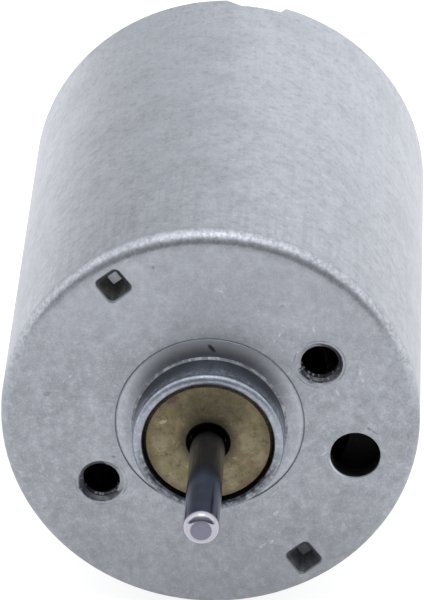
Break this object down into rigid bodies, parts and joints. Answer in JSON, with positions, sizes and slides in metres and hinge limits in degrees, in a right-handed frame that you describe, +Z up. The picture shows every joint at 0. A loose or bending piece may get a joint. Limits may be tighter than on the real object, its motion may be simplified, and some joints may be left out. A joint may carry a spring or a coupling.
{
  "type": "brushed direct-current motor",
  "caption": "Small round brushed motor with a drawn steel can, a front boss with a bronze bushing, a plain output shaft, tapped face holes and rear blade terminals.",
  "frame": {"origin": "on the shaft axis, in the front mounting face of the can", "axes": "+Y along the shaft axis from the output end to the terminals, +Z up with the motor lying on its side, +X to the right seen from the front"},
  "size_m": [0.0276, 0.057, 0.0276],
  "materials": {
    "zinc_plated_steel": "dull zinc plate with faint draw marks",
    "sintered_bronze": "oil-filled sintered bronze, matte and mottled",
    "ferrite": "dark grey ceramic ferrite",
    "spring_steel": "drawn spring wire",
    "black_moulding": "fine-textured black moulding",
    "tinned_brass": "tin plate, satin",
    "phosphor_bronze": "rolled strip",
    "carbon": "pressed graphite",
    "ground_steel": "ground and polished",
    "washer_plastic": "natural plastic film",
    "washer_steel": "stamped",
    "spacer_brass": "turned",
    "electrical_steel": "stamped edges, lightly oxidised",
    "insulator_moulding": "dark green moulding",
    "liner_film": "insulating film",
    "enamelled_copper": "clear enamel over copper",
    "phenolic": "brown-black phenolic",
    "commutator_copper": "turned copper with a light brush track",
    "varistor_ceramic": "fired ceramic with silvered pads",
    "solder": "bright solder"
  },
  "bodies": {
    "stator": {"motor_can": "zinc_plated_steel", "front_bushing": "sintered_bronze", "rear_bushing": "sintered_bronze", "magnet_1": "ferrite", "magnet_2": "ferrite", "magnet_spring_1": "spring_steel", "magnet_spring_2": "spring_steel", "end_bell": "black_moulding", "terminal_1": "tinned_brass", "terminal_2": "tinned_brass", "brush_arm_1": "phosphor_bronze", "brush_arm_2": "phosphor_bronze", "carbon_brush_1": "carbon", "carbon_brush_2": "carbon"},
    "rotor": {"shaft": "ground_steel", "front_oil_washer": "washer_plastic", "front_thrust_washer": "washer_steel", "front_spacer": "spacer_brass", "rear_thrust_washer": "washer_steel", "rear_oil_washer": "washer_plastic", "core_laminations": "electrical_steel", "front_core_insulator": "insulator_moulding", "rear_core_insulator": "insulator_moulding", "slot_liner_1": "liner_film", "slot_liner_2": "liner_film", "slot_liner_3": "liner_film", "coil_1": "enamelled_copper", "coil_2": "enamelled_copper", "coil_3": "enamelled_copper", "commutator_base": "phenolic", "commutator_segment_1": "commutator_copper", "commutator_segment_2": "commutator_copper", "commutator_segment_3": "commutator_copper", "varistor_ring": "varistor_ceramic", "solder_joints": "solder"}
  },
  "joints": [
    {"name": "rotor_spin", "type": "hinge", "parent": "stator", "child": "rotor", "pos_m": [0, 0, 0], "axis": [0, -1, 0], "continuous": true}
  ]
}
